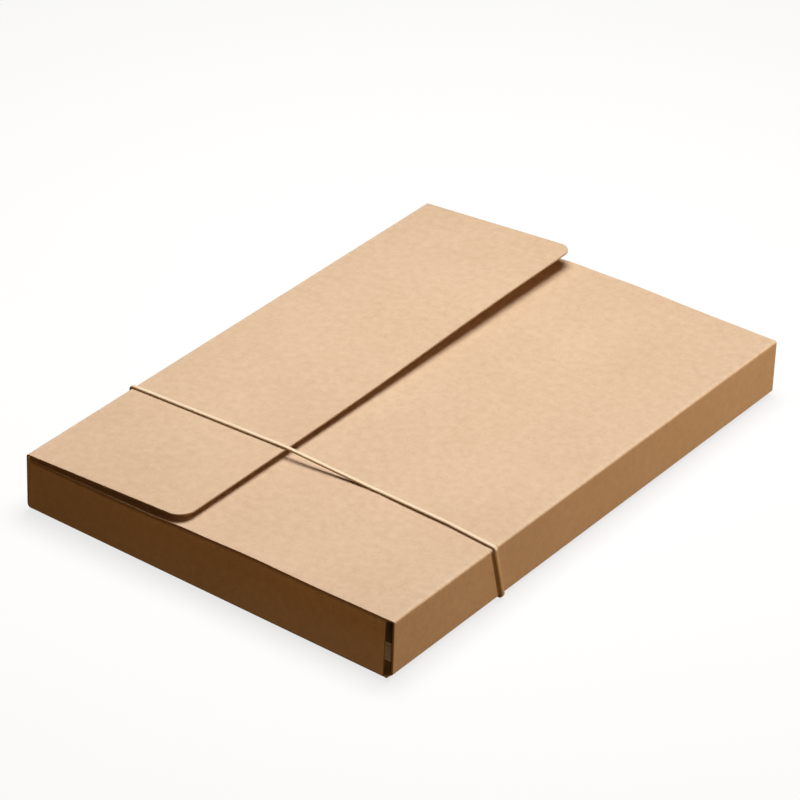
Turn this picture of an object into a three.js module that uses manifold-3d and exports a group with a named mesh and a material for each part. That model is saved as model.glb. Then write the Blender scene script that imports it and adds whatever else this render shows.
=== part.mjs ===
import * as THREE from 'three';
import { mergeVertices } from 'three/addons/utils/BufferGeometryUtils.js';
import Module from 'manifold-3d';

// Flat document envelope, lying on its back panel. Millimetres, +Z up, +Y along the long side.
const LENGTH = 320;            // long side
const WIDTH = 220;             // short side, spine to opening wall
const HEIGHT = 30;             // gusset height
const BOARD = 0.8;             // kraft board thickness
const CREASE_R = 1.2;          // outer radius of the sharp creases
const SPINE_R = 2.2;           // outer radius where the spine meets the back panel
const CLEAR = 0.3;             // gap between pieces that touch

const FLAP_DEPTH = 95.7;              // spine to the closing flap's free edge
const FLAP_TAPER = 4;                 // each end of the flap narrows this much toward its free edge
const FLAP_RISE = [[0, 2.2], [0.24, 3.0], [0.53, 6.8], [0.79, 9.9], [1, 12.3]];   // free edge above the box, along it
const FLAP_CORNER_R = 10;
const TOP_SHORT = 2.4;                // the top panel stops short of the spine's outer face
const TOP_SAG = [[0, 2.4], [0.227, 2.4], [0.336, 2.2], [0.455, 0.9], [0.632, 0.1], [0.782, 0.4], [0.97, 0.15], [1, 0]];
const TOP_OVERHANG = 0.3;

const SLIT_HEAD = 6.3;                // open slit between an end wall and the opening wall
const SLIT_FOOT = 4.2;
const WALL_CORNER_R = 3;
const FOOT_PROUD = [0.7, 3.6];        // the front wall's fold stands out from the box, left and right
const FOOT_LIP = 2.8;                 // corner of the back panel beside the slit
const HEAD_INSET = 0.4;               // the front wall leans in under the top panel
const BACK_INSET = 0.4;               // the other panels stop short of the back wall's face
const TUCK_DEPTH = 30;
const TUCK_TAPER = 9;
const TUCK_DROP = 2.4;                // the tuck flap slopes down a little
const TUCK_GAP = 1.0;                 // shadow gap under the top panel

const BAND_WIDTH = 2.1;
const BAND_THICK = 1.4;
const BAND_TWIST = 0.75;              // partly turned on the lower half of the opening wall
const BAND_SPINE_Y = [-79, -81.5];    // foot and head of the spine
const BAND_EDGE_Y = -81.6;            // where it leaves the closing flap
const BAND_LAND = [37, -79.2];        // where it meets the top panel
const BAND_WALL_Y = [-80.9, -75.4];   // head and foot of the opening wall

const SHEET_SIDE_ROOM = 5;              // room beside the sheets inside, seen through the corner slit
const SHEET_END_ROOM = 11.5;
const SHEET_SLIDE = 2.4;              // the sheets have slid toward the front wall
const STACK_HEIGHT = 10.5;

const half = BOARD / 2;
const mix = (a, b, t) => a + (b - a) * t;
const clamp01 = (t) => Math.min(1, Math.max(0, t));
const ease = (t) => t * t * (3 - 2 * t);

// The closing flap is held down by the band and springs up behind it.
function flapRise(share) {
  const i = Math.max(1, FLAP_RISE.findIndex(([at]) => share <= at));
  const [t0, rise0] = FLAP_RISE[i - 1];
  const [t1, rise1] = FLAP_RISE[i];
  return mix(rise0, rise1, (share - t0) / (t1 - t0));
}

const WALL_LEFT = -WIDTH / 2 + BOARD + CLEAR;
const WALL_RIGHT_HEAD = WIDTH / 2 - SLIT_HEAD;
const WALL_RIGHT_FOOT = WIDTH / 2 - SLIT_FOOT;

// Height of the top panel's upper face, which sags toward the spine.
function topHeight(x) {
  const share = clamp01(x / WIDTH + 0.5);
  const i = Math.max(1, TOP_SAG.findIndex(([at]) => share <= at));
  const [t0, drop0] = TOP_SAG[i - 1];
  const [t1, drop1] = TOP_SAG[i];
  return HEIGHT - mix(drop0, drop1, ease((share - t0) / (t1 - t0)));
}

// Shares along a run: even steps, with closer ones over the rounded stretch at its start or end.
function runShares(length, even, roundAtStart, roundAtEnd) {
  const shares = [0, 1];
  for (let k = 1; k < even; k++) shares.push(k / even);
  for (let k = 0; k < 6; k++) {
    const d = 1 - Math.sin((Math.PI / 2) * (k / 6));
    if (roundAtStart) shares.push((roundAtStart * d) / length);
    if (roundAtEnd) shares.push(1 - (roundAtEnd * d) / length);
  }
  return [...new Set(shares.map((t) => Math.round(t * 1e5) / 1e5))].sort((a, b) => a - b);
}

// A line with rounded corners. Each corner is [a, b, radius, steps or shares of the run that follows].
function foldedLine(corners) {
  const out = [];
  const n = corners.length;
  const at = (i) => new THREE.Vector2(corners[i][0], corners[i][1]);
  let start = at(0);
  for (let i = 0; i < n - 1; i++) {
    const dir = at(i + 1).sub(at(i)).normalize();
    let end = at(i + 1);
    let arc = null;
    if (i + 1 < n - 1) {
      const next = at(i + 2).sub(at(i + 1)).normalize();
      const turn = Math.atan2(dir.x * next.y - dir.y * next.x, dir.dot(next));
      const cut = corners[i + 1][2] * Math.tan(Math.abs(turn) / 2);
      end = at(i + 1).addScaledVector(dir, -cut);
      arc = { turn, radius: corners[i + 1][2], dir };
    }
    const normal = new THREE.Vector2(-dir.y, dir.x);
    const shares = Array.isArray(corners[i][3]) ? corners[i][3] : runShares(1, corners[i][3]);
    for (const t of shares) out.push({ p: start.clone().lerp(end, t), n: normal.clone(), leg: i });
    if (arc) {
      const side = Math.sign(arc.turn);
      const centre = end.clone().addScaledVector(normal, side * arc.radius);
      for (let k = 1; k < 5; k++) {
        const a = (arc.turn * k) / 5;
        const m = normal.clone().rotateAround(new THREE.Vector2(), a);
        out.push({ p: centre.clone().addScaledVector(m, -side * arc.radius), n: m, leg: i + 0.5 });
      }
      const last = normal.clone().rotateAround(new THREE.Vector2(), arc.turn);
      start = centre.clone().addScaledVector(last, -side * arc.radius);
    }
  }
  return out;
}

// A closed thin solid from two grids of points, one for each face of the sheet.
function closedSheet(faceA, faceB) {
  const rows = faceA.length;
  const cols = faceA[0].length;
  const positions = [];
  const index = [];
  for (const face of [faceA, faceB]) {
    for (const row of face) for (const v of row) positions.push(v.x, v.y, v.z);
  }
  const id = (f, i, j) => f * rows * cols + i * cols + j;
  const quad = (a, b, c, d) => index.push(a, b, c, a, c, d);
  for (let i = 0; i < rows - 1; i++) {
    for (let j = 0; j < cols - 1; j++) {
      quad(id(0, i, j), id(0, i + 1, j), id(0, i + 1, j + 1), id(0, i, j + 1));
      quad(id(1, i, j), id(1, i, j + 1), id(1, i + 1, j + 1), id(1, i + 1, j));
    }
  }
  for (let i = 0; i < rows - 1; i++) {
    quad(id(0, i, 0), id(1, i, 0), id(1, i + 1, 0), id(0, i + 1, 0));
    quad(id(0, i, cols - 1), id(0, i + 1, cols - 1), id(1, i + 1, cols - 1), id(1, i, cols - 1));
  }
  for (let j = 0; j < cols - 1; j++) {
    quad(id(0, 0, j), id(0, 0, j + 1), id(1, 0, j + 1), id(1, 0, j));
    quad(id(0, rows - 1, j), id(1, rows - 1, j), id(1, rows - 1, j + 1), id(0, rows - 1, j + 1));
  }
  return outward(positions, index);
}

function outward(positions, index) {
  const v = (i) => new THREE.Vector3(positions[3 * i], positions[3 * i + 1], positions[3 * i + 2]);
  let volume = 0;
  for (let t = 0; t < index.length; t += 3) {
    volume += v(index[t]).dot(v(index[t + 1]).cross(v(index[t + 2])));
  }
  if (volume < 0) {
    for (let t = 0; t < index.length; t += 3) [index[t], index[t + 1]] = [index[t + 1], index[t]];
  }
  const geometry = new THREE.BufferGeometry();
  geometry.setAttribute('position', new THREE.Float32BufferAttribute(positions, 3));
  geometry.setIndex(index);
  return geometry;
}

const footFold = (x) => -LENGTH / 2 - mix(...FOOT_PROUD, clamp01((x - WALL_LEFT) / (WALL_RIGHT_FOOT - WALL_LEFT)));

// Front edge of the back panel: it follows the slanting fold line and is cut off at the corner slit.
function footEdge(x) {
  const w = WIDTH / 2;
  if (x < 4 - w) return mix(-LENGTH / 2, footFold(x) + CREASE_R, clamp01((x + w) / 4));
  if (x > WALL_RIGHT_FOOT) return -LENGTH / 2 - FOOT_LIP * clamp01(w - x);
  return footFold(x) + CREASE_R;
}

// Top panel, opening wall, back panel, spine and closing flap: one strip folded round the short side.
function mainStrip() {
  const w = WIDTH / 2;
  const stations = 16;
  const backShares = [0, 0.005, (SLIT_FOOT - 1.3) / WIDTH, SLIT_FOOT / WIDTH, 0.04, 0.2, 0.4, 0.6, 0.8, 0.94, 0.98, 1];
  const faceA = [];
  const faceB = [];
  for (let k = 0; k <= stations; k++) {
    const v = k / stations;
    const edgeX = -w + FLAP_DEPTH;
    const edgeZ = HEIGHT + flapRise(v);
    const line = foldedLine([
      [-w + TOP_SHORT, HEIGHT - half, 0, 24],
      [w - half, HEIGHT - half, CREASE_R - half, 4],
      [w - half, half, CREASE_R - half, backShares],
      [-w + half, half, SPINE_R - half, 4],
      [-w + half, HEIGHT - half, CREASE_R - half, runShares(FLAP_DEPTH, 6, 0, FLAP_CORNER_R)],
      [edgeX, edgeZ - half, 0, 1],
    ]);
    const rowA = [];
    const rowB = [];
    for (const { p, n, leg } of line) {
      const crown = leg === 0 ? topHeight(p.x) - HEIGHT : 0;
      let front = -LENGTH / 2;
      let back = LENGTH / 2 - BACK_INSET;
      if (leg === 0) front -= TOP_OVERHANG;
      if (leg === 2) {
        front = footEdge(p.x);
        back = LENGTH / 2 - CREASE_R;
      }
      if (leg === 4) {
        const d = Math.max(0, p.x - (edgeX - FLAP_CORNER_R));
        const r = FLAP_CORNER_R - Math.sqrt(Math.max(0, FLAP_CORNER_R ** 2 - d * d));
        const narrow = r + (FLAP_TAPER * (p.x + w)) / FLAP_DEPTH;
        front += narrow;
        back -= narrow;
      }
      const y = mix(front, back, v);
      rowA.push(new THREE.Vector3(p.x + n.x * half, y, p.y + crown + n.y * half));
      rowB.push(new THREE.Vector3(p.x - n.x * half, y, p.y + crown - n.y * half));
    }
    faceA.push(rowA);
    faceB.push(rowB);
  }
  return closedSheet(faceA, faceB);
}

// An end wall hinged on the back panel, with its tuck flap folded in under the top panel.
function endWall(sign, footAt, head) {
  const stations = 16;
  const faceA = [];
  const faceB = [];
  for (let k = 0; k <= stations; k++) {
    const u = k / stations;
    const across = mix(WALL_LEFT, WALL_RIGHT_FOOT, u);
    const foot = footAt(across);
    const top = topHeight(across) - BOARD - TUCK_GAP;
    const line = foldedLine([
      [foot - sign * (half + 6), half, 0, 1],
      [foot - sign * half, half, CREASE_R - half, runShares(top, 6, WALL_CORNER_R, 0)],
      [head - sign * half, top - half, CREASE_R - half, [0, 0.2, 0.4, 0.6, 0.8, 0.87, 0.93, 0.97, 1]],
      [head - sign * TUCK_DEPTH, top - half - TUCK_DROP, 0, 1],
    ]);
    const rowA = [];
    const rowB = [];
    for (const { p, n, leg } of line) {
      let left = WALL_LEFT;
      let right = mix(WALL_RIGHT_FOOT, WALL_RIGHT_HEAD, clamp01(p.y / HEIGHT));
      const d = Math.max(0, WALL_CORNER_R - p.y);
      left += WALL_CORNER_R - Math.sqrt(Math.max(0, WALL_CORNER_R ** 2 - d * d));
      if (leg > 2) {
        const inward = Math.abs(p.x - head) / TUCK_DEPTH;
        const taper = TUCK_TAPER * inward + 5 * clamp01((inward - 0.8) / 0.2) ** 3;
        left += taper;
        right -= taper;
      }
      const x = mix(left, right, u);
      rowA.push(new THREE.Vector3(x, p.x + n.x * half, p.y + n.y * half));
      rowB.push(new THREE.Vector3(x, p.x - n.x * half, p.y - n.y * half));
    }
    faceA.push(rowA);
    faceB.push(rowB);
  }
  return closedSheet(faceA, faceB);
}

function joined(wasm, geometries) {
  const solids = geometries.map((geometry) => {
    const mesh = new wasm.Mesh({
      numProp: 3,
      vertProperties: new Float32Array(geometry.attributes.position.array),
      triVerts: new Uint32Array(geometry.index.array),
    });
    return new wasm.Manifold(mesh);
  });
  const mesh = solids.reduce((a, b) => a.add(b)).getMesh();
  const count = mesh.numProp;
  const positions = [];
  for (let i = 0; i < mesh.vertProperties.length; i += count) {
    positions.push(mesh.vertProperties[i], mesh.vertProperties[i + 1], mesh.vertProperties[i + 2]);
  }
  const geometry = new THREE.BufferGeometry();
  geometry.setAttribute('position', new THREE.Float32BufferAttribute(positions, 3));
  geometry.setIndex(Array.from(mesh.triVerts));
  return geometry;
}

// The band's closed route round the short side, as points with the direction facing away from the board.
function bandRoute() {
  const w = WIDTH / 2;
  const out = CLEAR + BAND_THICK / 2;
  const v = BAND_EDGE_Y / LENGTH + 0.5;
  const edge = [-w + FLAP_DEPTH, HEIGHT + flapRise(v)];
  const land = [BAND_LAND[0], topHeight(BAND_LAND[0])];
  const rise = Math.atan2(edge[1] - HEIGHT, edge[0] + w);
  const fall = Math.atan2(edge[1] - land[1], land[0] - edge[0]);
  const up = Math.PI / 2;
  const route = [];
  const arc = (cx, cz, r, from, to, y, steps = 5) => {
    for (let k = 0; k <= steps; k++) {
      const a = mix(from, to, k / steps);
      route.push({ x: cx + Math.cos(a) * (r + out), z: cz + Math.sin(a) * (r + out), a, y, twist: 0 });
    }
  };
  const run = (to, steps) => {
    const from = route[route.length - 1];
    for (let k = 1; k < steps; k++) {
      const t = k / steps;
      route.push({ x: mix(from.x, to.x, t), z: mix(from.z, to.z, t), a: from.a, y: mix(from.y, to.y, t), twist: 0 });
    }
  };
  const c = CREASE_R;
  arc(-w + SPINE_R, SPINE_R, SPINE_R, up * 3, up * 2, BAND_SPINE_Y[0]);
  run({ x: -w - out, z: HEIGHT - c, y: BAND_SPINE_Y[1] }, 3);
  arc(-w + c, HEIGHT - c, c, up * 2, up + rise, BAND_SPINE_Y[1]);
  run({ x: edge[0] - Math.sin(rise) * out, z: edge[1] + out, y: BAND_EDGE_Y }, 8);
  arc(edge[0], edge[1], 0, up + rise, up - fall, BAND_EDGE_Y, 4);
  run({ x: land[0], z: land[1] + out, y: BAND_LAND[1] }, 8);
  route.push({ x: land[0] - 1.5, z: land[1] + out + 0.12, a: up - fall * 0.66, y: BAND_LAND[1], twist: 0 });
  route.push({ x: land[0] + 1.5, z: land[1] + out + 0.02, a: up - fall * 0.15, y: BAND_LAND[1], twist: 0 });
  run({ x: w - c, z: HEIGHT + out, y: BAND_WALL_Y[0] }, 5);
  arc(w - c, HEIGHT - c, c, up, 0, BAND_WALL_Y[0]);
  const wall = route[route.length - 1];
  for (let k = 1; k < 12; k++) {
    const t = k / 12;
    const twist = BAND_TWIST * ease(clamp01((t - 0.3) / 0.35)) * (1 - ease(clamp01((t - 0.86) / 0.14)));
    const reach = CLEAR + (BAND_WIDTH / 2) * Math.sin(twist) + (BAND_THICK / 2) * Math.cos(twist);
    route.push({ x: w + reach, z: mix(wall.z, c, t), a: 0, y: mix(...BAND_WALL_Y, t), twist });
  }
  arc(w - c, c, c, 0, -up, BAND_WALL_Y[1]);
  run({ x: -w + SPINE_R, z: -out, y: BAND_SPINE_Y[0] }, 6);
  return route;
}

function bandLoop() {
  const route = bandRoute();
  const count = route.length;
  const bw = BAND_WIDTH / 2;
  const bt = BAND_THICK / 2;
  const bevel = 0.3;
  const section = [
    [bw, -bt + bevel], [bw, bt - bevel], [bw - bevel, bt], [-bw + bevel, bt],
    [-bw, bt - bevel], [-bw, -bt + bevel], [-bw + bevel, -bt], [bw - bevel, -bt],
  ];
  const positions = [];
  const index = [];
  const at = (i) => {
    const q = route[(i + count) % count];
    return new THREE.Vector3(q.x, q.y, q.z);
  };
  for (let i = 0; i < count; i++) {
    const tangent = at(i + 1).sub(at(i - 1)).normalize();
    const away = new THREE.Vector3(Math.cos(route[i].a), 0, Math.sin(route[i].a));
    const side = new THREE.Vector3().crossVectors(tangent, away).normalize();
    const normal = new THREE.Vector3().crossVectors(side, tangent).normalize();
    for (const [s, n] of section) {
      const c = Math.cos(route[i].twist);
      const d = Math.sin(route[i].twist);
      const point = at(i).addScaledVector(side, s * c - n * d).addScaledVector(normal, s * d + n * c);
      positions.push(point.x, point.y, point.z);
    }
  }
  const m = section.length;
  for (let i = 0; i < count; i++) {
    const next = (i + 1) % count;
    for (let j = 0; j < m; j++) {
      const k = (j + 1) % m;
      index.push(i * m + j, i * m + k, next * m + k, i * m + j, next * m + k, next * m + j);
    }
  }
  return outward(positions, index);
}

function paperStack() {
  const box = new THREE.BoxGeometry(WIDTH - 2 * SHEET_SIDE_ROOM, LENGTH - 2 * SHEET_END_ROOM, STACK_HEIGHT);
  box.deleteAttribute('normal');
  box.deleteAttribute('uv');
  const geometry = mergeVertices(box, 1e-5);
  geometry.translate(0, -SHEET_SLIDE, BOARD + CLEAR + STACK_HEIGHT / 2);
  return geometry;
}

const wasm = await Module();
wasm.setup();

const envelope = joined(wasm, [
  mainStrip(),
  endWall(-1, footFold, HEAD_INSET - LENGTH / 2),
  endWall(1, () => LENGTH / 2, LENGTH / 2),
]);

const pieces = [
  ['envelope', envelope, { color: 0xcda67c, roughness: 0.85, metalness: 0 }],
  ['elastic_band', bandLoop(), { color: 0xe6cda6, roughness: 0.7, metalness: 0 }],
  ['paper_stack', paperStack(), { color: 0xe9e6df, roughness: 0.8, metalness: 0 }],
];

// The origin is at the middle of the underside of the whole part.
const bounds = new THREE.Box3();
for (const [, geometry] of pieces) bounds.union(new THREE.Box3().setFromBufferAttribute(geometry.attributes.position));
const centre = bounds.getCenter(new THREE.Vector3());

const part = new THREE.Group();
for (const [name, geometry, finish] of pieces) {
  geometry.translate(-centre.x, -centre.y, -bounds.min.z);
  geometry.computeVertexNormals();
  const mesh = new THREE.Mesh(geometry, new THREE.MeshStandardMaterial(finish));
  mesh.name = name;
  part.add(mesh);
}

export default part;
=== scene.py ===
import math
import random

import bpy
import numpy as np
from mathutils import Matrix, Vector


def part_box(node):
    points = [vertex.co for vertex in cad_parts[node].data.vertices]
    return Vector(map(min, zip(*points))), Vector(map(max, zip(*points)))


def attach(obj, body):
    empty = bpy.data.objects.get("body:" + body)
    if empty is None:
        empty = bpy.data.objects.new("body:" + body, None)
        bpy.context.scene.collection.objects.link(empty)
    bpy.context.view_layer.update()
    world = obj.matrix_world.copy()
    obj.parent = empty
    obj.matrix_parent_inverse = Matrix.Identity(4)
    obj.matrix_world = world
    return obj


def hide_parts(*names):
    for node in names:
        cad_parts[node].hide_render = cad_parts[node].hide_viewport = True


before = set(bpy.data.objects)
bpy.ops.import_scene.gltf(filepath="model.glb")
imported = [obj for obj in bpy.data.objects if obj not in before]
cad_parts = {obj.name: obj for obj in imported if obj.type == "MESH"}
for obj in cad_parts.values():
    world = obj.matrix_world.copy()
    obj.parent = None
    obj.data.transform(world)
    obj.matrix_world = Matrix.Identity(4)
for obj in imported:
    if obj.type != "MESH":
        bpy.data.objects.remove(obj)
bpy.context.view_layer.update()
lowBoard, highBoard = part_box("envelope")
halfSize = (0.110, 0.160)  # half the closed envelope's width and length
# the middle of its underside in the row frame
shift = Vector((lowBoard[0] + halfSize[0], highBoard[1] - halfSize[1], lowBoard[2]))
print("frame loaded")


def place(x, y, z):  # millimetres from the envelope's middle, on its underside
    return Vector((x / 1000, y / 1000, z / 1000)) + shift


def mix(a, b, t):
    return a + (b - a) * t


def clamp01(t):
    return min(1.0, max(0.0, t))


def ease(t):
    return t * t * (3 - 2 * t)


def easeBetween(t, start, stop):
    return ease(clamp01((t - start) / (stop - start)))


def newMaterial(name):
    mat = bpy.data.materials.new(name)
    mat.use_nodes = True
    tree = mat.node_tree
    tree.nodes.clear()
    out = tree.nodes.new("ShaderNodeOutputMaterial")
    return mat, tree, out


def addNode(tree, kind, inputs=None, **settings):
    n = tree.nodes.new("ShaderNode" + kind)
    for key, value in settings.items():
        setattr(n, key, value)
    for key, value in (inputs or {}).items():
        if isinstance(value, bpy.types.NodeSocket):
            tree.links.new(value, n.inputs[key])
        else:
            n.inputs[key].default_value = value
    return n


def mathNode(tree, operation, a, b):
    return addNode(tree, "Math", {0: a, 1: b}, operation=operation).outputs[0]


def scaled(tree, value, factor):
    return mathNode(tree, "MULTIPLY", value, factor)


def highest(tree, values):
    top = values[0]
    for value in values[1:]:
        top = mathNode(tree, "MAXIMUM", top, value)
    return top


def rampNode(tree, fac, low, high):  # 0 below low, 1 above high
    settings = {"Value": fac, "From Min": low, "From Max": high}
    return addNode(tree, "MapRange", settings, clamp=True).outputs["Result"]


def mixColour(tree, fac, a, b):
    n = tree.nodes.new("ShaderNodeMix")
    n.data_type = "RGBA"
    for socket, value in ((n.inputs[0], fac), (n.inputs[6], a), (n.inputs[7], b)):
        if isinstance(value, bpy.types.NodeSocket):
            tree.links.new(value, socket)
        else:
            socket.default_value = value
    return n.outputs[2]


def noiseNode(tree, vector, scale, detail=3.0, rough=0.55, distort=0.0):
    settings = {"Vector": vector, "Scale": scale, "Detail": detail, "Roughness": rough, "Distortion": distort}
    return addNode(tree, "TexNoise", settings).outputs["Fac"]


def turned(tree, vector, angle, stretch, offset=0.0):  # turns coordinates and stretches them one way
    settings = {"Vector": vector, "Rotation": (0, 0, angle), "Location": (offset, offset, 0)}
    spun = addNode(tree, "Mapping", settings).outputs[0]
    factors = {0: spun, 1: (1.0 / stretch, 1.0, 1.0)}
    return addNode(tree, "VectorMath", factors, operation="MULTIPLY").outputs[0]


def meshObject(name, points, faces, slots, materials, smooth=None, attributes=None, sheetUv=None):
    mesh = bpy.data.meshes.new(name)
    mesh.from_pydata([tuple(p) for p in points], [], faces)
    for mat in materials:
        mesh.materials.append(mat)
    mesh.polygons.foreach_set("material_index", slots)
    mesh.polygons.foreach_set("use_smooth", [True] * len(faces) if smooth is None else smooth)
    for key, values in (attributes or {}).items():
        mesh.attributes.new(key, "FLOAT", "POINT").data.foreach_set("value", values)
    if sheetUv is not None:
        layer = mesh.uv_layers.new(name="sheet")
        layer.data.foreach_set("uv", [c for face in sheetUv for uv in face for c in uv])
    mesh.update()
    obj = bpy.data.objects.new(name, mesh)
    bpy.context.scene.collection.objects.link(obj)
    return obj


kraft = {
    "light": (0.745, 0.532, 0.358, 1),  # face of the board
    "dark": (0.632, 0.430, 0.268, 1),  # its darker clouds
    "cut": (0.460, 0.285, 0.155, 1),  # raw cut edges, slightly darker than the face as kraft is, and darkened further as painted shade
    "cutDark": (0.330, 0.190, 0.095, 1),
    "fleckLight": (0.840, 0.650, 0.460, 1),
    "fleckDark": (0.330, 0.180, 0.085, 1),
    "cloudScale": 210.0, "cloudShare": 0.5,  # formation of the pulp, about 5 mm
    "broadScale": 16.0, "broadShare": 0.22,  # slow changes of tone
    "grainScale": 2600.0, "grainShare": 0.28,
    "toneRange": (0.36, 0.62),
    "fibreAngles": (0.15, 0.95, 1.75, 2.55),
    "fibreScale": 2300.0, "fibreStretch": 11.0,
    "fibreStep": 0.37,  # keeps the sets of fibres apart
    "paleRange": (0.66, 0.76), "paleShare": 0.38,
    "deepRange": (0.33, 0.25), "deepShare": 0.30,
    "speckScale": 190.0, "speckShare": 0.55,
    "speckRange": (0.085, 0.03), "speckChance": (0.80, 0.82),
    "rubScale": 420.0, "rubRange": (0.38, 0.66), "rubShare": 0.42,  # worn creases
    "plyScale": 90.0, "plyStretch": 0.02, "plyRange": (0.35, 0.7),  # layers in the cut edge
    "roughness": 0.56, "roughGrain": 0.14,
    "specular": 0.42,
    "sheen": 0.45, "sheenRoughness": 0.55, "sheenTint": (1.0, 0.95, 0.88, 1),
    "bump": 0.35, "bumpDepth": 0.00005,
    "bumpGrain": 0.6, "bumpPale": 0.5, "bumpDeep": 0.35,
    "waveScale": 26.0, "waveBump": 0.30, "waveDepth": 0.0012,  # the board isn't quite flat
}


def kraftMaterial(name, wear=1.0, isCut=False):
    mat, tree, out = newMaterial(name)
    uv = addNode(tree, "UVMap", uv_map="sheet").outputs[0]
    clouds = noiseNode(tree, uv, kraft["cloudScale"], 4.0, 0.6)
    broad = noiseNode(tree, uv, kraft["broadScale"], 3.0, 0.5)
    grain = noiseNode(tree, uv, kraft["grainScale"], 3.0, 0.65)
    tone = scaled(tree, clouds, kraft["cloudShare"])
    tone = mathNode(tree, "ADD", tone, scaled(tree, broad, kraft["broadShare"]))
    tone = mathNode(tree, "ADD", tone, scaled(tree, grain, kraft["grainShare"]))
    tone = rampNode(tree, tone, *kraft["toneRange"])
    colour = mixColour(tree, tone, kraft["dark"], kraft["light"])
    pales, deeps = [], []
    for k, angle in enumerate(kraft["fibreAngles"]):
        vector = turned(tree, uv, angle, kraft["fibreStretch"], kraft["fibreStep"] * k)
        strand = noiseNode(tree, vector, kraft["fibreScale"], 1.5, 0.5, 0.35)
        pales.append(rampNode(tree, strand, *kraft["paleRange"]))
        deeps.append(rampNode(tree, strand, *kraft["deepRange"]))
    pale, deep = highest(tree, pales), highest(tree, deeps)
    colour = mixColour(tree, scaled(tree, pale, kraft["paleShare"]), colour, kraft["fleckLight"])
    colour = mixColour(tree, scaled(tree, deep, kraft["deepShare"]), colour, kraft["fleckDark"])
    specks = addNode(tree, "TexVoronoi", {"Vector": uv, "Scale": kraft["speckScale"], "Randomness": 1.0})
    chance = addNode(tree, "SeparateColor", {0: specks.outputs["Color"]}).outputs[0]
    speck = rampNode(tree, specks.outputs["Distance"], *kraft["speckRange"])
    speck = mathNode(tree, "MULTIPLY", speck, rampNode(tree, chance, *kraft["speckChance"]))
    colour = mixColour(tree, scaled(tree, speck, kraft["speckShare"]), colour, kraft["fleckDark"])
    crease = addNode(tree, "Attribute", attribute_name="crease").outputs["Fac"]
    worn = rampNode(tree, noiseNode(tree, uv, kraft["rubScale"], 4.0, 0.7), *kraft["rubRange"])
    rub = mathNode(tree, "MULTIPLY", crease, worn)
    colour = mixColour(tree, scaled(tree, rub, kraft["rubShare"] * wear), colour, kraft["fleckLight"])
    if isCut:
        # the cut-edge colours are partly the board's own colour and partly painted shade
        plies = noiseNode(tree, turned(tree, uv, 0.0, kraft["plyStretch"]), kraft["plyScale"], 3.0, 0.6)
        colour = mixColour(tree, rampNode(tree, plies, *kraft["plyRange"]), kraft["cutDark"], kraft["cut"])
    height = scaled(tree, grain, kraft["bumpGrain"])
    height = mathNode(tree, "ADD", height, scaled(tree, pale, kraft["bumpPale"]))
    height = mathNode(tree, "SUBTRACT", height, scaled(tree, deep, kraft["bumpDeep"]))
    fine = addNode(tree, "Bump", {
        "Strength": kraft["bump"], "Distance": kraft["bumpDepth"], "Height": height,
    }).outputs[0]
    wave = noiseNode(tree, uv, kraft["waveScale"], 2.0, 0.45)
    slow = addNode(tree, "Bump", {
        "Strength": kraft["waveBump"], "Distance": kraft["waveDepth"], "Height": wave, "Normal": fine,
    }).outputs[0]
    rough = mathNode(tree, "ADD", kraft["roughness"], scaled(tree, grain, kraft["roughGrain"]))
    shader = addNode(tree, "BsdfPrincipled", {
        "Base Color": colour, "Roughness": rough, "Normal": slow, "Specular IOR Level": kraft["specular"],
        "Sheen Weight": kraft["sheen"], "Sheen Roughness": kraft["sheenRoughness"],
        "Sheen Tint": kraft["sheenTint"],
    })
    tree.links.new(shader.outputs[0], out.inputs[0])
    return mat


boardFace = kraftMaterial("kraftFace")
boardInside = kraftMaterial("kraftInside", wear=0.2)
boardCut = kraftMaterial("kraftCutEdge", isCut=True)
print("kraft board materials made")

board = {
    "length": 320.0, "width": 220.0, "height": 30.0,
    "thick": 0.8,
    "creaseR": 1.2,
    "creaseReach": 2.2,  # how far a crease is rubbed pale
    "spineR": 2.2,
    "flapDepth": 95.7,  # spine to free edge
    "flapTaper": 0.9,  # each end narrows by this toward the free edge
    "flapRise": (
        (0, 3.2), (0.2, 3.4), (0.36, 3.9), (0.48, 4.6),
        (0.6, 5.9), (0.72, 7.2), (0.84, 8.1), (1, 8.6),
    ),
    "flapCornerR": 8.5,
    "topShort": 2.4,  # the top panel stops this short of the spine
    "topSag": (
        (0, 2.4), (0.227, 2.4), (0.336, 2.2), (0.455, 0.9),
        (0.632, 0.1), (0.782, 0.4), (0.97, 0.15), (1, 0),
    ),
    "topOverhang": 0.1,
    "slitHead": 6.1, "slitFoot": 3.0,  # open slit between an end wall and the opening wall
    "wallCornerR": 3.0,
    "footProud": (0.7, 3.6),  # how far the front wall's foot stands out, at spine and slit
    "footLip": 2.8,
    "headInset": 1.1, "backInset": 0.4,
    "tuckDepth": 30.0, "tuckTaper": 9.0, "tuckDrop": 2.4, "tuckGap": 1.7,
    "tuckRounding": 5.0,  # extra taper on the last fifth of a tuck flap
    "spineRoom": 0.3,  # between an end wall and the spine
    "alongSteps": 48, "acrossSteps": 60, "arcSteps": 8,
}
halfBoard = board["thick"] / 2
halfWidth = board["width"] / 2
halfLength = board["length"] / 2
wallLeft = -halfWidth + board["thick"] + board["spineRoom"]
wallRightHead = halfWidth - board["slitHead"]
wallRightFoot = halfWidth - board["slitFoot"]


def topHeight(x):  # upper face of the top panel, which sags toward the spine
    share = clamp01(x / board["width"] + 0.5)
    knots = board["topSag"]
    i = max(1, next(k for k, knot in enumerate(knots) if share <= knot[0]))
    (t0, drop0), (t1, drop1) = knots[i - 1], knots[i]
    return board["height"] - mix(drop0, drop1, ease((share - t0) / (t1 - t0)))


def flapRise(share):  # the band holds the free edge down, and it springs up behind the band
    places, rises = zip(*board["flapRise"])
    return float(np.interp(share, places, rises))


def footFold(x):
    return -halfLength - mix(*board["footProud"], clamp01((x - wallLeft) / (wallRightFoot - wallLeft)))


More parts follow.
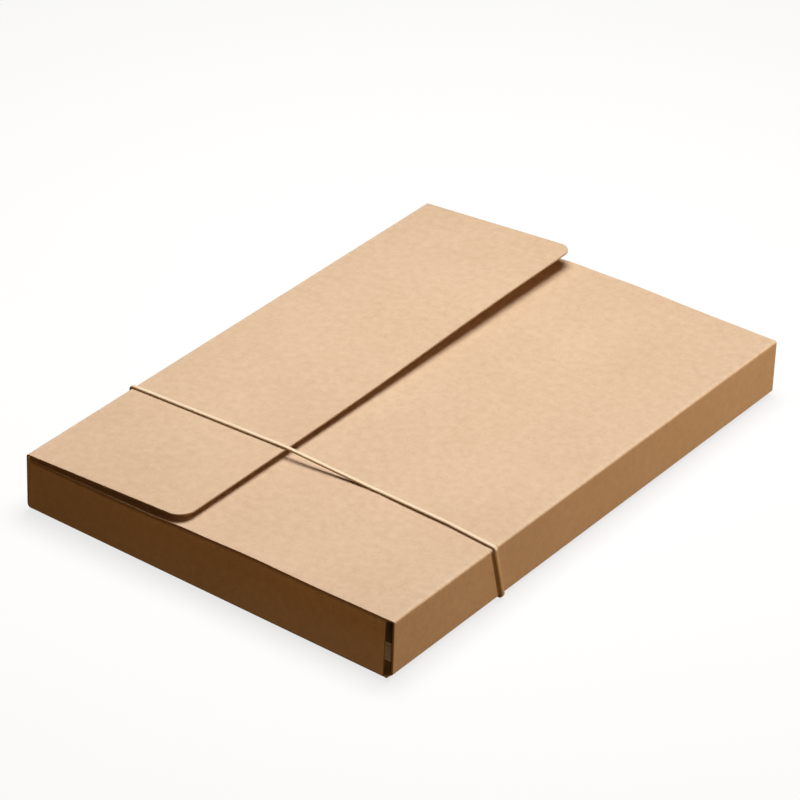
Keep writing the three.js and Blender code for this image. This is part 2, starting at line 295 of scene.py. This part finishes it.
def footEdge(x):
    fold = footFold(x) + board["creaseR"]
    if x < 4 - halfWidth:
        return mix(-halfLength, fold, clamp01((x + halfWidth) / 4))
    if x > wallRightFoot:
        return -halfLength - board["footLip"] * clamp01(halfWidth - x)
    return fold


def runShares(length, even, close=()):  # even steps, and the marks given in millimetres
    shares = {0.0, 1.0} | {k / even for k in range(1, even)}
    for mark in close:
        shares.add(round(clamp01(mark / length), 6))
    return sorted(shares)


def foldedLine(corners):  # each corner is (a, b, radius, shares of the run that follows)
    arcSteps = board["arcSteps"]
    points = []
    at = [Vector((c[0], c[1])) for c in corners]
    start = at[0]
    for i in range(len(corners) - 1):
        direction = (at[i + 1] - at[i]).normalized()
        end = at[i + 1]
        normal = Vector((-direction.y, direction.x))
        turn = 0.0
        if i + 2 < len(corners):
            after = (at[i + 2] - at[i + 1]).normalized()
            turn = math.atan2(direction.x * after.y - direction.y * after.x, direction.dot(after))
            radius = corners[i + 1][2]
            end = at[i + 1] - direction * radius * math.tan(abs(turn) / 2)
        for t in corners[i][3]:
            points.append((start.lerp(end, t), normal.copy(), i))
        if turn:
            side = 1 if turn > 0 else -1
            centre = end + normal * side * radius
            for k in range(1, arcSteps + 1):
                spin = Matrix.Rotation(turn * k / arcSteps, 2)
                leaning = spin @ normal
                point = centre - leaning * side * radius
                if k < arcSteps:
                    points.append((point, leaning, i + 0.5))
            start = point
    return points


def sheetMesh(store, rowsA, rowsB, creases, sheetS, sheetT, isFlipped):
    # rowsA and rowsB are the sheet's two faces, with one row of points for each station
    # sheetS and sheetT are the places of those points on the flat sheet, in metres
    across, along = len(rowsA), len(rowsA[0])
    base = len(store["points"])
    faceShift = 0.9  # keeps the grain of the two faces apart
    for rows in (rowsA, rowsB):
        for row in rows:
            store["points"].extend(row)
            store["crease"].extend(creases)

    def index(f, i, j):
        return base + f * across * along + i * along + j

    def quad(corners, slot, smooth):
        corners = corners[::-1] if isFlipped else corners
        store["faces"].append([index(f, i, j) for f, i, j in corners])
        store["uv"].append([(sheetS[j] + faceShift * f, sheetT[i][j]) for f, i, j in corners])
        store["slots"].append(slot)
        store["smooth"].append(smooth)

    for i in range(across - 1):
        for j in range(along - 1):
            quad([(0, i, j), (0, i + 1, j), (0, i + 1, j + 1), (0, i, j + 1)], 0, True)
            quad([(1, i, j), (1, i, j + 1), (1, i + 1, j + 1), (1, i + 1, j)], 1, True)
    last = along - 1
    for i in range(across - 1):
        quad([(0, i, 0), (1, i, 0), (1, i + 1, 0), (0, i + 1, 0)], 2, False)
        quad([(0, i, last), (0, i + 1, last), (1, i + 1, last), (1, i, last)], 2, False)
    last = across - 1
    for j in range(along - 1):
        quad([(0, 0, j), (0, 0, j + 1), (1, 0, j + 1), (1, 0, j)], 2, False)
        quad([(0, last, j), (1, last, j), (1, last, j + 1), (0, last, j + 1)], 2, False)


def arcLengths(line):
    total = 0.0
    lengths = [0.0]
    for (p, _, _), (q, _, _) in zip(line, line[1:]):
        total += (q - p).length
        lengths.append(total)
    return lengths


def creaseWeights(line, lengths):
    folds = [s for s, (_, _, leg) in zip(lengths, line) if leg != int(leg)]
    return [max([0.0] + [1 - abs(s - f) / board["creaseReach"] for f in folds]) for s in lengths]


def mainStrip(store):
    steps = board["alongSteps"]
    nearEnds = {0.002, 0.006, 0.012, 0.988, 0.994, 0.998}
    stations = sorted({k / steps for k in range(steps + 1)} | nearEnds)
    rowsA, rowsB, sheetT = [], [], []
    topZ = board["height"] - halfBoard
    creaseR = board["creaseR"] - halfBoard
    cornerMarks = [board["flapCornerR"] * (1 - math.sin(math.pi / 2 * k / 14)) for k in range(14)]
    for v in stations:
        depth = board["flapDepth"]
        edgeX = -halfWidth + depth
        edgeZ = board["height"] + flapRise(v)
        flapShares = runShares(depth, 24, [2.2, 4.4] + [depth - m for m in cornerMarks])
        line = foldedLine([
            (-halfWidth + board["topShort"], topZ, 0, runShares(217, 60, [1, 215, 212.8])),
            (halfWidth - halfBoard, topZ, creaseR, runShares(28, 10, [1, 2.2, 25.8])),
            (halfWidth - halfBoard, halfBoard, creaseR, runShares(217, 40, [0.4, 1, 2.6, 3.0, 3.4, 215])),
            (-halfWidth + halfBoard, halfBoard, board["spineR"] - halfBoard, runShares(27, 10, [1, 2.2, 25])),
            (-halfWidth + halfBoard, topZ, creaseR, flapShares),
            (edgeX, edgeZ - halfBoard, 0, [0, 1]),
        ])
        rowA, rowB, rowT = [], [], []
        for p, n, leg in line:
            crown = topHeight(p.x) - board["height"] if leg == 0 else 0.0
            front, back = -halfLength, halfLength - board["backInset"]
            if leg == 0:
                front -= board["topOverhang"]
            if leg == 2:
                front, back = footEdge(p.x), halfLength - board["creaseR"]
            if leg == 4:
                d = max(0.0, p.x - (edgeX - board["flapCornerR"]))
                r = board["flapCornerR"] - math.sqrt(max(0.0, board["flapCornerR"] ** 2 - d * d))
                narrow = r + board["flapTaper"] * (p.x + halfWidth) / depth
                front, back = front + narrow, back - narrow
            y = mix(front, back, v)
            rowA.append(place(p.x + n.x * halfBoard, y, p.y + crown + n.y * halfBoard))
            rowB.append(place(p.x - n.x * halfBoard, y, p.y + crown - n.y * halfBoard))
            rowT.append(y / 1000)
        rowsA.append(rowA)
        rowsB.append(rowB)
        sheetT.append(rowT)
    lengths = arcLengths(line)
    sheetS = [s / 1000 for s in lengths]
    sheetMesh(store, rowsA, rowsB, creaseWeights(line, lengths), sheetS, sheetT, True)


def endWall(store, sign, footAt, head, sheetPlace):  # sign is -1 for the front wall and 1 for the back one
    steps = board["acrossSteps"]
    nearEnds = {0.003, 0.008, 0.992, 0.997}
    stations = sorted({k / steps for k in range(steps + 1)} | nearEnds)
    rowsA, rowsB, sheetT = [], [], []
    creaseR = board["creaseR"] - halfBoard
    marks = [board["wallCornerR"] * (1 - math.sin(math.pi / 2 * k / 8)) for k in range(8)]
    for u in stations:
        across = mix(wallLeft, wallRightFoot, u)
        foot = footAt(across)
        top = topHeight(across) - board["thick"] - board["tuckGap"]
        line = foldedLine([
            (foot - sign * board["creaseR"], halfBoard, 0, [0]),  # the crease starts here
            (foot - sign * halfBoard, halfBoard, creaseR, runShares(27, 12, marks + [1, 2.2, 24.8])),
            (head - sign * halfBoard, top - halfBoard, creaseR, runShares(29, 14, [1, 2.2, 28, 26, 25])),
            (head - sign * board["tuckDepth"], top - halfBoard - board["tuckDrop"], 0, [0, 1]),
        ])
        rowA, rowB = [], []
        for p, n, leg in line:
            right = mix(wallRightFoot, wallRightHead, clamp01(p.y / board["height"]))
            cornerR = board["wallCornerR"]
            d = max(0.0, cornerR - p.y)
            left = wallLeft + cornerR - math.sqrt(max(0.0, cornerR ** 2 - d * d))
            if leg > 2:
                inward = abs(p.x - head) / board["tuckDepth"]
                rounding = board["tuckRounding"] * clamp01((inward - 0.8) / 0.2) ** 3
                taper = board["tuckTaper"] * inward + rounding
                left, right = left + taper, right - taper
            x = mix(left, right, u)
            rowA.append(place(x, p.x + n.x * halfBoard, p.y + n.y * halfBoard))
            rowB.append(place(x, p.x - n.x * halfBoard, p.y - n.y * halfBoard))
        rowsA.append(rowA)
        rowsB.append(rowB)
        sheetT.append([sheetPlace + across / 1000] * len(line))
    lengths = arcLengths(line)
    if sign > 0:
        rowsA, rowsB = rowsB, rowsA
    sheetS = [s / 1000 for s in lengths]
    sheetMesh(store, rowsA, rowsB, creaseWeights(line, lengths), sheetS, sheetT, sign > 0)


store = {"points": [], "faces": [], "uv": [], "slots": [], "smooth": [], "crease": []}
mainStrip(store)
endWall(store, -1, footFold, board["headInset"] - halfLength, 1.3)
endWall(store, 1, lambda x: halfLength, halfLength, 2.1)
boardMaterials = [boardFace, boardInside, boardCut]
envelopeBoard = meshObject(
    "envelopeBoard", store["points"], store["faces"], store["slots"], boardMaterials,
    store["smooth"], {"crease": store["crease"]}, store["uv"],
)
print("envelope folded:", len(store["faces"]), "faces")

band = {
    "colour": (0.900, 0.760, 0.580, 1),
    "shade": (0.820, 0.650, 0.450, 1),  # dusty streaks along its length
    "flankShade": (0.170, 0.085, 0.032, 1),  # painted shade on its lower sides, standing in for their shadow on the board
    "width": 1.9, "thick": 1.4,
    "clear": 0.08,  # gap to the board
    "round": 0.38,  # radius of its long edges
    "twist": -0.12,  # radians on the lower half of the opening wall
    "twistIn": (0.3, 0.65), "twistOut": (0.86, 1.0),  # shares of that wall where it begins and ends
    "flankShadeTop": 1.0, "flankShadeWall": 0.8,  # how strong the painted shade on the lower sides is, on the top runs and elsewhere
    "streakScale": 3200.0, "streakStretch": 40.0, "dustScale": 900.0, "toneRange": (0.4, 0.62),
    "spineY": (-79.0, -81.5),  # foot and head of the spine
    "edgeY": -81.6,  # where it leaves the closing flap
    "landX": 37.0, "landY": -79.2,  # where it meets the top panel
    "landHalf": 4.0,  # half the length of the bend there
    "landShare": 0.92,  # share of its way along landY that it has gone before that bend
    "bendX": 84.0, "bendY": -80.5,
    "wallY": (-82.9, -75.4),  # head and foot of the opening wall
}


def bandMaterial():
    mat, tree, out = newMaterial("naturalRubber")
    uv = addNode(tree, "UVMap", uv_map="sheet").outputs[0]
    streaks = noiseNode(tree, turned(tree, uv, 0.0, band["streakStretch"]), band["streakScale"], 3.0, 0.6)
    dust = noiseNode(tree, uv, band["dustScale"], 4.0, 0.65)
    tone = mathNode(tree, "ADD", scaled(tree, streaks, 0.6), scaled(tree, dust, 0.4))
    tone = rampNode(tree, tone, *band["toneRange"])
    colour = mixColour(tree, tone, band["shade"], band["colour"])
    flankShade = addNode(tree, "Attribute", attribute_name="flankShade").outputs["Fac"]
    # painted shade: the band's lower sides are darkened as if in shadow
    colour = mixColour(tree, scaled(tree, flankShade, 0.95), colour, band["flankShade"])
    bump = addNode(tree, "Bump", {"Strength": 0.4, "Distance": 0.00004, "Height": streaks}).outputs[0]
    shader = addNode(tree, "BsdfPrincipled", {
        "Base Color": colour, "Roughness": mathNode(tree, "ADD", 0.42, scaled(tree, dust, 0.2)),
        "Specular IOR Level": 0.4, "Subsurface Weight": 0.06, "Subsurface Scale": 0.0012,
        "Subsurface Radius": (1.0, 0.6, 0.35), "Normal": bump,
    })
    tree.links.new(shader.outputs[0], out.inputs[0])
    return mat


def bandRoute():
    out = band["clear"] + band["thick"] / 2
    v = band["edgeY"] / board["length"] + 0.5
    edge = (-halfWidth + board["flapDepth"], board["height"] + flapRise(v))
    land = (band["landX"], topHeight(band["landX"]))
    rise = math.atan2(edge[1] - board["height"], edge[0] + halfWidth)
    fall = math.atan2(edge[1] - land[1], land[0] - edge[0])
    up = math.pi / 2
    route = []

    def arc(cx, cz, r, start, stop, y, steps=10):
        for k in range(steps + 1):
            a = mix(start, stop, k / steps)
            route.append([cx + math.cos(a) * (r + out), y, cz + math.sin(a) * (r + out), a, 0.0])

    def run(x, y, z, steps):
        x0, y0, z0, a = route[-1][:4]
        for k in range(1, steps):
            t = k / steps
            route.append([mix(x0, x, t), mix(y0, y, t), mix(z0, z, t), a, 0.0])

    c, s = board["creaseR"], board["spineR"]
    w, h = halfWidth, board["height"]
    arc(-w + s, s, s, up * 3, up * 2, band["spineY"][0])
    run(-w - out, band["spineY"][1], h - c, 12)
    arc(-w + c, h - c, c, up * 2, up + rise, band["spineY"][1])
    run(edge[0] - math.sin(rise) * out, band["edgeY"], edge[1] + out, 30)
    arc(edge[0], edge[1], 0, up + rise, up - fall, band["edgeY"], 8)
    half, share = band["landHalf"], band["landShare"]
    lift = half * math.tan(fall)
    run(land[0] - half, mix(band["edgeY"], band["landY"], share), land[1] + out + lift, 18)
    bendSteps = 8
    for k in range(bendSteps + 1):  # it bends gently down onto the top panel
        t = k / bendSteps
        x = land[0] - half + 2 * half * t
        y = mix(band["edgeY"], band["landY"], mix(share, 1, t))
        route.append([x, y, land[1] + out + lift * (1 - t) ** 2, up - fall * (1 - t), 0.0])
    run(band["bendX"], band["bendY"], h + out, 14)
    run(w - c, band["wallY"][0], h + out, 12)
    arc(w - c, h - c, c, up, 0, band["wallY"][0])
    z0 = route[-1][2]
    wallSteps = 40
    for k in range(1, wallSteps):
        t = k / wallSteps
        turn = band["twist"] * easeBetween(t, *band["twistIn"])
        turn *= 1 - easeBetween(t, *band["twistOut"])
        reach = band["clear"] + band["width"] / 2 * abs(math.sin(turn))
        reach += band["thick"] / 2 * math.cos(turn)
        route.append([w + reach, mix(*band["wallY"], t), mix(z0, c, t), 0.0, turn])
    arc(w - c, c, c, 0, -up, band["wallY"][1])
    run(-w + s, band["spineY"][0], -out, 40)
    return route


def bandMesh():
    route = bandRoute()
    count = len(route)
    bw, bt, r = band["width"] / 2, band["thick"] / 2, band["round"]
    section = []
    cornerX, cornerY = bw - r, bt - r
    corners = ((1, 1, 0), (-1, 1, 90), (-1, -1, 180), (1, -1, 270))
    for cx, cy, start in ((sx * cornerX, sy * cornerY, start) for sx, sy, start in corners):
        for k in range(5):
            a = math.radians(start + 22.5 * k)
            section.append((cx + r * math.cos(a), cy + r * math.sin(a)))
    around = [0.0]
    for p, q in zip(section, section[1:] + section[:1]):
        around.append(around[-1] + math.dist(p, q))
    points, length = [], [0.0]
    spots = [Vector(q[:3]) for q in route]
    for i in range(count):
        tangent = (spots[(i + 1) % count] - spots[i - 1]).normalized()
        away = Vector((math.cos(route[i][3]), 0, math.sin(route[i][3])))
        side = tangent.cross(away).normalized()
        normal = side.cross(tangent).normalized()
        c, d = math.cos(route[i][4]), math.sin(route[i][4])
        for s, n in section:
            points.append(place(*(spots[i] + side * (s * c - n * d) + normal * (s * d + n * c))))
        length.append(length[-1] + (spots[(i + 1) % count] - spots[i]).length)
    m = len(section)
    faces, uv = [], []
    for i in range(count):
        for j in range(m):
            corners = [(i, j), (i + 1, j), (i + 1, j + 1), (i, j + 1)]
            faces.append([(a % count) * m + b % m for a, b in corners])
            uv.append([(length[a] / 1000, around[b] / 1000) for a, b in corners])
    fade = bt * 0.5  # painted shade darkens the sides from here down to the board
    low = [clamp01((fade - n) / fade) for s, n in section]
    depths = [band["flankShadeTop"] if math.sin(q[3]) > 0.7 else band["flankShadeWall"] for q in route]
    flankShade = [depth * share for depth in depths for share in low]
    return points, faces, uv, flankShade


# the last value is the painted shade on the band's lower sides
points, faces, uv, flankShade = bandMesh()
elasticBand = meshObject(
    "elasticBand", points, faces, [0] * len(faces), [bandMaterial()], None, {"flankShade": flankShade}, uv,
)
print("elastic band laid")

sheets = {
    "sheetCount": 70,
    "width": 210.0, "length": 297.0, "height": 10.1,
    "lift": 0.3,  # gap between the back panel and the lowest sheet
    "paperShare": 0.9,  # the rest of the height is air between the sheets
    "seed": 11,
    "slip": 0.35,  # how far single sheets sit out of line
    "slide": 4.4,  # the whole stack sits nearer the front wall
    "colour": (0.920, 0.860, 0.940, 1),
    "edge": (0.820, 0.760, 0.850, 1),
}


def paperMaterial():
    mat, tree, out = newMaterial("whitePaper")
    spot = addNode(tree, "TexCoord").outputs["Object"]
    grain = noiseNode(tree, spot, 1800.0, 3.0, 0.6)
    streaks = noiseNode(tree, turned(tree, spot, 0.0, 30.0), 2400.0, 2.0, 0.5)
    colour = mixColour(tree, rampNode(tree, streaks, 0.35, 0.65), sheets["edge"], sheets["colour"])
    bump = addNode(tree, "Bump", {"Strength": 0.2, "Distance": 0.00003, "Height": grain}).outputs[0]
    shader = addNode(tree, "BsdfPrincipled", {
        "Base Color": colour, "Roughness": 0.75, "Specular IOR Level": 0.3, "Normal": bump,
    })
    tree.links.new(shader.outputs[0], out.inputs[0])
    return mat


slips = random.Random(sheets["seed"])
points, faces = [], []
each = sheets["height"] / sheets["sheetCount"]
for k in range(sheets["sheetCount"]):
    slipX, slipY = (slips.uniform(-sheets["slip"], sheets["slip"]) for _ in range(2))
    w, l = sheets["width"] / 2 - sheets["slip"], sheets["length"] / 2 - sheets["slip"]
    z = board["thick"] + sheets["lift"] + each * k
    base = len(points)
    for dz in (0.0, each * sheets["paperShare"]):
        for sx, sy in ((-1, -1), (1, -1), (1, 1), (-1, 1)):
            points.append(place(sx * w + slipX, sy * l + slipY - sheets["slide"], z + dz))
    for f in ((3, 2, 1, 0), (4, 5, 6, 7), (0, 1, 5, 4), (1, 2, 6, 5), (2, 3, 7, 6), (3, 0, 4, 7)):
        faces.append([base + i for i in f])
paperSheets = meshObject(
    "paperSheets", points, faces, [0] * len(faces), [paperMaterial()], [False] * len(faces),
)
print("paper sheets stacked")

for piece, nodeName, slotName in (
    (envelopeBoard, "envelope", "kraft_board"),
    (elasticBand, "elastic_band", "natural_rubber"),
    (paperSheets, "paper_stack", "white_paper"),
):
    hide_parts(nodeName)
    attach(piece, "root")

studio = {
    "keyEnergy": 9.35, "keySize": 0.52,
    "keyFrom": (-0.04, 0.13, 0.86), "keyColour": (1.0, 0.985, 0.96),
    "sideEnergy": 6.5, "sideSize": 0.07,
    "sideFrom": (0.85, 0.85, 0.037), "sideColour": (1.0, 0.74, 0.45),
    "frontEnergy": 3.3, "frontSize": 0.18,
    "frontFrom": (1.05, -1.35, 0.19), "frontColour": (1.0, 0.63, 0.25),
    "aimHeight": 0.02,
    "fill": (1.0, 0.50, 0.16, 1), "fillStrength": 0.030,
    "floor": (0.97, 0.97, 0.97, 1),  # as the camera sees it
    "floorGlow": 0.78,  # share of plain white in what the camera sees of it
    "floorBounce": (0.08, 0.03, 0.008, 1),  # what it throws back onto the object
    "floorReach": 6.0,
}


def areaLight(name, energy, size, spot, colour):
    data = bpy.data.lights.new(name, "AREA")
    data.energy, data.size, data.color = energy, size, colour
    light = bpy.data.objects.new(name, data)
    light.location = spot
    aim = Vector((0, 0, studio["aimHeight"])) - Vector(spot)
    light.rotation_euler = aim.to_track_quat("-Z", "Y").to_euler()
    bpy.context.scene.collection.objects.link(light)


for kind in ("key", "side", "front"):
    areaLight(kind + "Light", *(studio[kind + what] for what in ("Energy", "Size", "From", "Colour")))

world = bpy.data.worlds.new("studioWorld")
bpy.context.scene.world = world
world.use_nodes = True
tree = world.node_tree
tree.nodes.clear()
isCamera = addNode(tree, "LightPath").outputs["Is Camera Ray"]
fillSettings = {"Color": studio["fill"], "Strength": studio["fillStrength"]}
fill = addNode(tree, "Background", fillSettings).outputs[0]
white = addNode(tree, "Background", {"Color": (1, 1, 1, 1), "Strength": 1.0}).outputs[0]
blend = addNode(tree, "MixShader", {0: isCamera, 1: fill, 2: white}).outputs[0]
tree.links.new(blend, addNode(tree, "OutputWorld").inputs[0])

mat, tree, out = newMaterial("paleFloor")
isCamera = addNode(tree, "LightPath").outputs["Is Camera Ray"]
seen = mixColour(tree, isCamera, studio["floorBounce"], studio["floor"])
shaded = addNode(tree, "BsdfDiffuse", {"Color": seen}).outputs[0]
glow = addNode(tree, "Emission", {"Color": (1, 1, 1, 1), "Strength": 1.0}).outputs[0]
share = mathNode(tree, "MULTIPLY", isCamera, studio["floorGlow"])
tree.links.new(addNode(tree, "MixShader", {0: share, 1: shaded, 2: glow}).outputs[0], out.inputs[0])
reach = studio["floorReach"]
corners = [(-reach, -reach, 0), (reach, -reach, 0), (reach, reach, 0), (-reach, reach, 0)]
floor = meshObject("floor", corners, [[0, 1, 2, 3]], [0], [mat])
print("studio lit")

view = {
    "focalPixels": 4236.15, "pixelsWide": 800,
    "sensorWidth": 36.0,
    "spin": (2.0310365261811167, 0.698688644811833, -0.3462536718665542),  # turn axis times angle
    "at": (1028.5, -1432.5, 1126.2),  # millimetres from the envelope's middle
}
axis = Vector(view["spin"])
turn = Matrix.Rotation(axis.length, 3, axis.normalized())
cameraData = bpy.data.cameras.new("camera")
cameraData.sensor_width = view["sensorWidth"]
cameraData.lens = view["sensorWidth"] * view["focalPixels"] / view["pixelsWide"]
cameraData.clip_end = 50
camera = bpy.data.objects.new("camera", cameraData)
right, down, ahead = turn
pose = Matrix((right, -down, -ahead)).transposed().to_4x4()
pose.translation = place(*view["at"])
camera.matrix_world = pose
bpy.context.scene.collection.objects.link(camera)
bpy.context.scene.camera = camera
bpy.context.scene.view_settings.view_transform = "Standard"
print("camera set")
